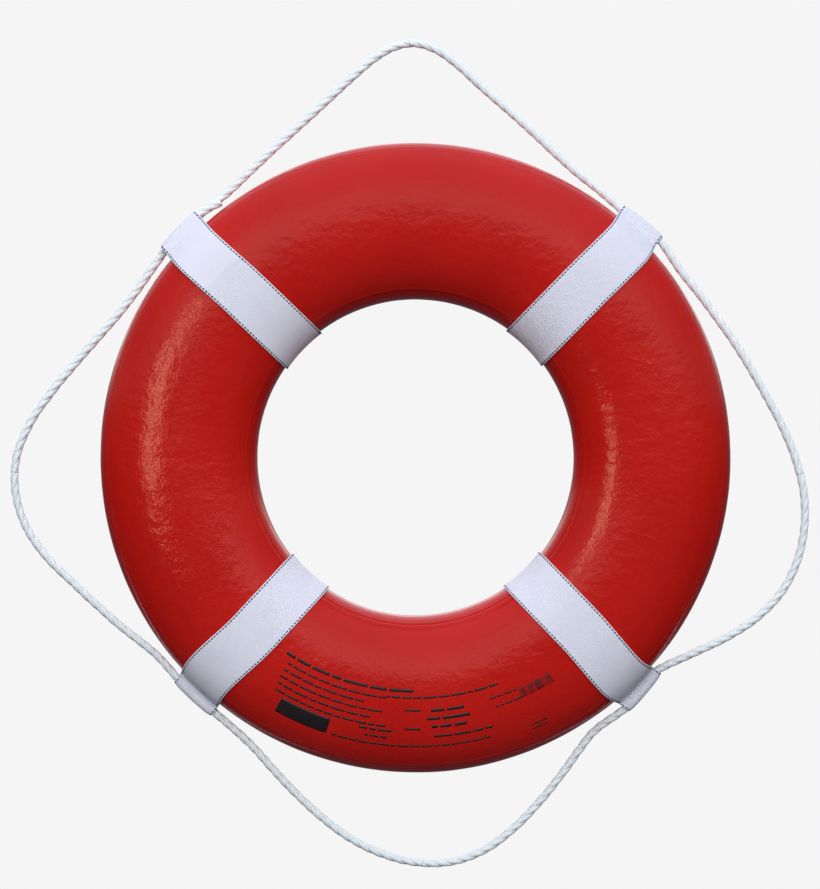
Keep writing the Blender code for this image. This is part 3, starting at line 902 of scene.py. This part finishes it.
def add_skin(side, way, material):
    """One half of the skin: a closed shell turned round the ring's axis, way 1 rear or -1 front."""
    outer, normals = skin_outline()
    lining, _ = section(np.linspace(math.pi, 0, LINING_STEPS), -SKIN_THICKNESS)
    lining[:, 1] = np.maximum(lining[:, 1], SEAM_GAP / 2)
    outline = np.concatenate([outer, lining])
    out_of = np.concatenate([normals, np.zeros_like(lining)])
    clock = np.arange(RING_STEPS) * 360 / RING_STEPS
    out, _ = directions(clock)
    back = np.array((0, way, 0))
    grid = RING_CENTRE + out[:, None] * outline[None, :, :1] + back * outline[None, :, 1:]
    push = out[:, None] * out_of[None, :, :1] + back * out_of[None, :, 1:]
    flat = grid[:, : len(outer)].reshape(-1, 3)
    angles = np.repeat(clock, len(outer))
    radii = np.tile(outer[:, 0], RING_STEPS)
    height = relief(flat, angles, radii, way < 0).reshape(RING_STEPS, len(outer), 1)
    near_seam = eased((outer[:, 1] - SEAM_GAP) / SEAM_CALM)[None, :, None]
    grid[:, : len(outer)] += push[:, : len(outer)] * height * near_seam
    laid = (np.radians(clock) * MIDDLE_RADIUS, distances(outline))
    skin = tubes(f"vinyl_{side}", [grid], material, [laid], closed=True)
    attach(skin, "buoy")
    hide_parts(f"vinyl_skin_{side}")
    return skin


def on_front(clock, radius, lift):
    """World points this far off the front of the skin."""
    points, normals = section(phase_at(radius))
    out, _ = directions(clock)
    front = np.array((0, -1, 0))
    base = RING_CENTRE + out * points[:, :1] + front * points[:, 1:]
    normal = out * normals[:, :1] + front * normals[:, 1:]
    height = relief(base, clock, radius, True) + lift
    return base + normal * height[:, None]


def ink_bar(clock, radius, width, height):
    """A plain bar of ink, width along the ring and height across it, as a grid for tubes."""
    half = math.degrees(width / 2 / radius)
    rows = max(2, round(width / INK_STEP) + 1)
    clocks = np.linspace(clock - half, clock + half, rows)
    columns = max(2, round(height / INK_STEP) + 1)
    heights = np.linspace(-height / 2, height / 2, columns)
    around = np.concatenate([heights, heights[::-1]])
    lifts = np.concatenate([np.full(columns, INK_LIFT), np.full(columns, -INK_LIFT)])
    a = np.repeat(clocks, 2 * columns)
    grid = on_front(a, radius + np.tile(around, rows), np.tile(lifts, rows))
    along = np.linspace(0, width, rows)
    return grid.reshape(rows, 2 * columns, 3), (along, distances(np.stack([around, lifts], 1)))


def add_print(material):
    """The markings on the lower front, as rows of plain bars."""
    rng = np.random.default_rng(PRINT_SEED)
    grids, laid = [], []

    def add(clock, radius, width, height):
        grid, along = ink_bar(clock, radius, width, height)
        grids.append(grid)
        laid.append(along)

    for low, high, radius, height, word in PRINT_ROWS:
        at = low
        while at < high:
            width = min(word * rng.uniform(*WORD_SHARES), math.radians(high - at) * radius)
            turn = math.degrees(width / radius)
            if width > height:
                add(at + turn / 2, radius, width, height)
            at += turn + math.degrees(PRINT_SPACE * height / radius)
    for clock, radius, width, height in PRINT_BLOCKS:
        add(clock, radius, width, height)
    low, high, radius, height = STRIPE_BLOCK
    at = low
    while at < high:
        width = rng.choice(STRIPE_WIDTHS)
        add(at, radius, width, height)
        at += math.degrees((width + rng.choice(STRIPE_WIDTHS)) / radius)
    mark = tubes("print_marks", grids, material, laid)
    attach(mark, "buoy")


# Beckets


def leaving_angle(centre, point):
    """The point's angle as seen from the line, the turn from there to where the fold begins, its side."""
    away = np.array(point) - centre
    turn = math.acos(TUNNEL_MIDDLE / np.linalg.norm(away))
    return abs(math.atan2(away[1], away[0])), turn, away[1]


def strap_outline(front_lobe, web):
    """The middle of the webbing's thickness, from the rear of the sewn web round ring and line.

    web is the web's depth. Gives the points and the number of the one where its front begins.
    """
    rear, _ = section(np.linspace(0, math.pi, OUTLINE_STEPS), WEBBING_GAP + HALF_THICK)
    ring = np.concatenate([rear, rear[-2:0:-1] * (1, -1)])
    hull = convex_hull_2d([tuple(p) for p in ring] + [(VALLEY_IN, web)])
    start = hull.index(len(ring))
    lying = [ring[i] for i in hull[start + 1 :] + hull[:start]]
    half = HALF_THICK + SEWN_SLACK
    front_end, rear_end = (VALLEY_OUT, web - half), (VALLEY_OUT, web + half)
    angle, turn, _ = leaving_angle((LINE_CIRCLE, front_lobe), front_end)
    front_turns = np.linspace(turn - angle, 0, FOLD_STEPS)
    angle, turn, side = leaving_angle((LINE_CIRCLE, 0), rear_end)
    reach = (angle if side > 0 else math.tau - angle) - turn
    rear_turns = np.linspace(0, reach, FOLD_STEPS)[1 if front_lobe == 0 else 0 :]
    fold = [(front_lobe, a) for a in front_turns] + [(0, a) for a in rear_turns]
    path = [(VALLEY_IN, web + half)] + lying + [(VALLEY_IN, web - half), front_end]
    path += [
        (LINE_CIRCLE + TUNNEL_MIDDLE * math.cos(a), depth + TUNNEL_MIDDLE * math.sin(a))
        for depth, a in fold
    ]
    return np.array(path + [rear_end]), len(lying) + 1


class Strap:
    """One becket's webbing, as a closed run round the ring and the line."""

    def __init__(self, corner):
        self.corner = corner
        front_lobe = -LAP_SPACING if corner == LAPPED_CORNER else 0
        path, web = strap_outline(front_lobe, WEB_DEPTH[corner])
        run = distances(path, closed=True)
        ribs = round(run[-1] / RIB_PITCH)
        self.rows = ribs * ROWS_PER_RIB
        even = np.arange(self.rows) * run[-1] / self.rows
        closed = np.concatenate([path, path[:1]])
        points = np.stack([np.interp(even, run, closed[:, k]) for k in range(2)], axis=1)
        for _ in range(SMOOTHINGS):
            points = (np.roll(points, 1, axis=0) + 2 * points + np.roll(points, -1, axis=0)) / 4
        self.stations = distances(points, closed=True)
        self.length = self.stations[-1]
        self.stations = self.stations[:-1]
        self.front_web = run[web] * self.length / run[-1]
        ahead = np.roll(points, -1, axis=0) - np.roll(points, 1, axis=0)
        ahead /= np.linalg.norm(ahead, axis=1, keepdims=True)
        self.points = points
        self.normals = np.stack([ahead[:, 1], -ahead[:, 0]], axis=1)
        self.rib_pitch = self.length / ribs

    def at(self, table, along):
        return np.interp(along, self.stations, table, period=self.length)

    def place(self, along, across, height):
        """World points; height is measured outwards from the middle of the webbing."""
        radius = self.at(self.points[:, 0], along) + height * self.at(self.normals[:, 0], along)
        depth = self.at(self.points[:, 1], along) + height * self.at(self.normals[:, 1], along)
        tilted = eased((radius - TILT_RADII[0]) / (TILT_RADII[1] - TILT_RADII[0]))
        radius = radius + TILT[self.corner] * across * tilted
        sway = SWAY[self.corner]
        aside = sway[0]
        for (low, high), before, after in zip(SWAY_RADII, sway, sway[1:]):
            aside = aside + (after - before) * eased((radius - low) / (high - low))
        radius = radius - CORNER_ROUND * tilted * np.abs(2 * across / WEBBING_WIDTH) ** CORNER_POWER
        across = across + aside
        out, clockwise = directions(BECKET_CLOCK[self.corner])
        reach = np.sqrt(radius**2 - across**2)
        flat = reach[..., None] * out + across[..., None] * clockwise
        return RING_CENTRE + flat + depth[..., None] * np.array((0, 1, 0))

    def wrapped(self, along):
        """The signed distance along the loop, from minus half its length to half."""
        return (along + self.length / 2) % self.length - self.length / 2


def band_columns(steps):
    """Places round the webbing's own section: across it, and height as a share of half its thickness."""
    turns = np.linspace(math.pi / 2, -math.pi / 2, EDGE_STEPS)
    right = np.stack([HALF_WIDTH - HALF_THICK * (1 - np.cos(turns)), np.sin(turns)], axis=1)
    inner = HALF_WIDTH - HALF_THICK
    top = np.linspace(-inner, inner, steps)[1:-1]
    groove = np.array([-1.4, -0.7, 0, 0.7, 1.4]) * MARKER_WIDTH / 2 + HALF_WIDTH - MARKER_INSET
    away = np.abs(np.abs(top)[:, None] - groove).min(axis=1) > MARKER_WIDTH / 3
    top = np.sort(np.concatenate([top[away], groove, -groove]))
    under = np.linspace(inner, -inner, UNDER_STEPS)[1:-1]
    left = right[::-1] * (-1, 1)
    columns = [np.stack([top, np.ones(len(top))], 1), right, np.stack([under, -np.ones(len(under))], 1), left]
    return np.concatenate(columns)


def edge_relief(across):
    """A raised selvedge and a shallow groove under the marker thread."""
    away = HALF_WIDTH - np.abs(across)
    return SELVEDGE_HEIGHT * bell(away - SELVEDGE_WIDTH / 2, SELVEDGE_WIDTH) - GROOVE_DEPTH * bell(
        away - MARKER_INSET, MARKER_WIDTH / 2
    )


def ribbed(strap, along, across, strength=1.0):
    """The weave's ribs, which fade at the selvedges."""
    inside = eased((HALF_WIDTH - np.abs(across)) / RIB_FADE)
    return strength * RIB_HEIGHT * np.cos(along * math.tau / strap.rib_pitch) * inside


def puckered(strap, along, across):
    """The gathers that the stitches pull into the fold beside the sewn web."""
    pitch = stitch_pitch()
    height = 0
    for web, way in ((strap.front_web + WEB_MIDDLE, 1), (-WEB_MIDDLE, -1)):
        away = way * strap.wrapped(along - web)
        near = eased(away / PUCKER_START) * bell(np.maximum(away, 0), PUCKER_REACH)
        height = height - PUCKER[strap.corner] * near * np.cos(across * math.tau / pitch)
    return height


def add_band(strap, material):
    """The webbing round ring and line, as one closed band."""
    columns = band_columns(BAND_STEPS)
    across, share = columns[:, 0], columns[:, 1]
    along = strap.stations[:, None]
    top = np.maximum(share, 0)
    raised = edge_relief(across) + ribbed(strap, along, across) + puckered(strap, along, across)
    height = share * HALF_THICK + top * raised
    full = np.broadcast_to(across, height.shape)
    grid = strap.place(np.broadcast_to(along, height.shape), full, height)
    round_it = distances(np.stack([across, share * HALF_THICK], axis=1))
    laid = (strap.stations * RIB_PITCH / strap.rib_pitch, across[0] + round_it)
    return tubes(f"becket_{strap.corner}_webbing", [grid], material, [laid], closed=True)


def lap_taper(away):
    """Share of the lapped end's thickness this far from the web: it rises, then thins at its tip."""
    return eased((away + LAP_RISE) / LAP_RISE) * eased((LAP_LENGTH - away) / LAP_TIP + LAP_END)


def add_lap(strap, material):
    """The webbing's free end, sewn down over the band beside the web."""
    front = strap.corner == LAPPED_CORNER
    web, way = (strap.front_web, -1) if front else (0, 1)
    rows = round((LAP_LENGTH + LAP_RISE) / strap.rib_pitch * ROWS_PER_RIB)
    away = np.linspace(-LAP_RISE, LAP_LENGTH, rows)
    columns = band_columns(BAND_STEPS)
    across, share = columns[:, 0], columns[:, 1]
    away = away[:, None]
    thick = lap_taper(away)
    middle = HALF_THICK + (HALF_THICK + LAP_GAP) * thick - HALF_THICK / 2 * (1 - thick)
    along = web + way * away
    raised = edge_relief(across) + ribbed(strap, along, across, LAP_RIBS)
    height = middle + share * HALF_THICK * thick + np.maximum(share, 0) * raised * thick
    grid = strap.place(
        np.broadcast_to(along, height.shape), np.broadcast_to(across * LAP_NARROW, height.shape), height
    )
    round_it = distances(np.stack([across, share * HALF_THICK], axis=1))
    laid = (along[:, 0] * RIB_PITCH / strap.rib_pitch, across[0] + round_it)
    return tubes(f"becket_{strap.corner}_lap", [grid], material, [laid])


def lap_height(strap, along):
    """The extra height of the lapped end at these distances along the strap."""
    front = strap.corner == LAPPED_CORNER
    away = -strap.wrapped(along - strap.front_web) if front else strap.wrapped(along)
    return (WEBBING_THICKNESS + LAP_GAP) * lap_taper(away)


def stitch_pitch():
    return (WEBBING_WIDTH - 2 * STITCH_MARGIN) / (STITCH_COUNT - 1)


def pills(name, strap, centres, size, crosswise, material):
    """Short stitches on a strap. centres are (along, across, height), and size is length, width, height."""
    length, width, tall = size
    ends = np.array([-1, -0.86, -0.45, 0.45, 0.86, 1]) * length / 2
    scale = np.array([0.35, 0.75, 1, 1, 0.75, 0.35])
    sink = np.array([0.5, 0.2, 0, 0, 0.2, 0.5]) * tall
    around = np.arange(PILL_SIDES) * math.tau / PILL_SIDES
    wide = scale[:, None] * width / 2 * np.cos(around)
    high = scale[:, None] * tall / 2 * np.sin(around) - sink[:, None]
    run = np.broadcast_to(ends[:, None], wide.shape)
    grids = []
    for along, across, height in centres:
        a, b = (wide, run) if crosswise else (run, wide)
        grids.append(strap.place(along + a, across + b, height + high))
    laid = (ends - ends[0], around * width / 2)
    return tubes(name, grids, material, [laid] * len(grids))


def add_marker(strap, material):
    """The coloured thread woven along both edges, showing as dashes."""
    count = round(strap.length / MARKER_PITCH)
    along = np.arange(count) * strap.length / count
    height = HALF_THICK + lap_height(strap, along) + MARKER_HEIGHT / 2 - GROOVE_DEPTH
    edge = HALF_WIDTH - MARKER_INSET
    centres = [(s, side * edge, h) for side in (-1, 1) for s, h in zip(along, height)]
    size = (MARKER_LENGTH, MARKER_WIDTH, MARKER_HEIGHT)
    return pills(f"becket_{strap.corner}_marker", strap, centres, size, False, material)


def add_stitches(strap, material):
    """The row of stitches through the web, on both sides, and two rows over the lapped end's tip."""
    reach = HALF_WIDTH - STITCH_MARGIN
    rows = [strap.front_web + WEB_MIDDLE, -WEB_MIDDLE]
    rows += [LAP_LENGTH - inset for inset in LAP_STITCH_INSETS if strap.corner != LAPPED_CORNER]
    centres = []
    for at in rows:
        height = HALF_THICK + float(lap_height(strap, np.array(at))) + STITCH_HEIGHT / 4
        centres += [(at, across, height) for across in np.linspace(-reach, reach, STITCH_COUNT)]
    size = (STITCH_LENGTH, STITCH_WIDTH, STITCH_HEIGHT)
    return pills(f"becket_{strap.corner}_stitches", strap, centres, size, True, material)


def add_beckets(skins):
    weave = webbing_material("webbing_weave", 1.0)
    plain = webbing_material("webbing_lapped", 0.45)
    navy = thread_material("marker_thread", NAVY, NAVY_PALE)
    white = thread_material("white_thread", THREAD_PALE, THREAD_SHADE)
    for corner in BECKET_CLOCK:
        strap = Strap(corner)
        band = add_band(strap, weave)
        lap = add_lap(strap, plain)
        marker = add_marker(strap, navy)
        stitches = add_stitches(strap, white)
        for pieces, slot in (((band, lap), "webbing"), ((marker, stitches), "thread")):
            for piece in pieces:
                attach(piece, "buoy")
        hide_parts(f"becket_{corner}")
        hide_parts(f"becket_stitching_{corner}")


def add_foam():
    material = foam_material()
    for side in ("front", "rear"):
        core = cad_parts[f"foam_core_{side}"]
        core.data.materials.clear()
        core.data.materials.append(material)


bpy.context.scene.view_settings.view_transform = "Standard"
add_camera()
add_line(line_material())
add_world()
for lamp in LAMPS:
    add_lamp(*lamp)
add_surroundings()
vinyl = vinyl_material()
add_beckets([add_skin("front", -1, vinyl), add_skin("rear", 1, vinyl)])
add_print(ink_material())
add_foam()
